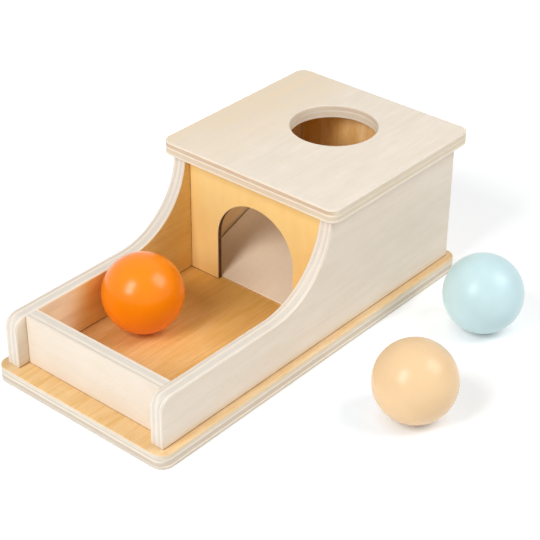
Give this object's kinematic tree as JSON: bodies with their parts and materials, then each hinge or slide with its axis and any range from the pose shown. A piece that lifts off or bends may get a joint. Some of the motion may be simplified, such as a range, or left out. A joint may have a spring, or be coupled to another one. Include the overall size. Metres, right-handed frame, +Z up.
{
  "type": "object permanence box",
  "caption": "Wooden toy box with a round drop hole over a hidden ramp, an arched doorway and an open tray, shown with its loose painted balls.",
  "frame": {"origin": "centre of the base board's underside, on the surface that the box stands on", "axes": "+Z up, -Y towards the tray's front rail, +Y towards the covered chamber's back, +X to the right seen from the front"},
  "size_m": [0.2095, 0.2527, 0.0905],
  "materials": {
    "honey_stained_ply": "satin honey stain on top, pale ply edges",
    "pale_birch_ply": "sanded birch plywood, clear matt lacquer, layered edges",
    "yellow_painted_ply": "thin plywood with a warm yellow water-based stain, brown cut edge",
    "ramp_ply": "plain sanded plywood",
    "dowel_beech": "plain turned dowel",
    "orange_paint": "wooden ball in satin orange paint",
    "pale_blue_paint": "wooden ball in satin pale blue paint",
    "peach_paint": "wooden ball in satin peach paint"
  },
  "bodies": {
    "box": {"base_board": "honey_stained_ply", "left_side_panel": "pale_birch_ply", "right_side_panel": "pale_birch_ply", "front_rail": "pale_birch_ply", "arch_panel": "yellow_painted_ply", "ramp_board": "ramp_ply", "ramp_cleat": "ramp_ply", "back_panel": "pale_birch_ply", "top_panel": "pale_birch_ply", "base_dowels": "dowel_beech", "rail_dowels": "dowel_beech", "back_dowels": "dowel_beech", "top_dowels": "dowel_beech"},
    "orange_ball": {"orange_ball": "orange_paint"},
    "blue_ball": {"blue_ball": "pale_blue_paint"},
    "tan_ball": {"tan_ball": "peach_paint"}
  },
  "joints": [
    {"name": "orange_ball_roll", "type": "slide", "parent": "box", "child": "orange_ball", "axis": [0.3833, 0.9236, 0], "range_m": [0, 0.0643]},
    {"name": "blue_ball_lift", "type": "slide", "parent": "box", "child": "blue_ball", "axis": [0, 0, 1], "range_m": [0, 0.15]},
    {"name": "tan_ball_lift", "type": "slide", "parent": "box", "child": "tan_ball", "axis": [0, 0, 1], "range_m": [0, 0.15]}
  ]
}
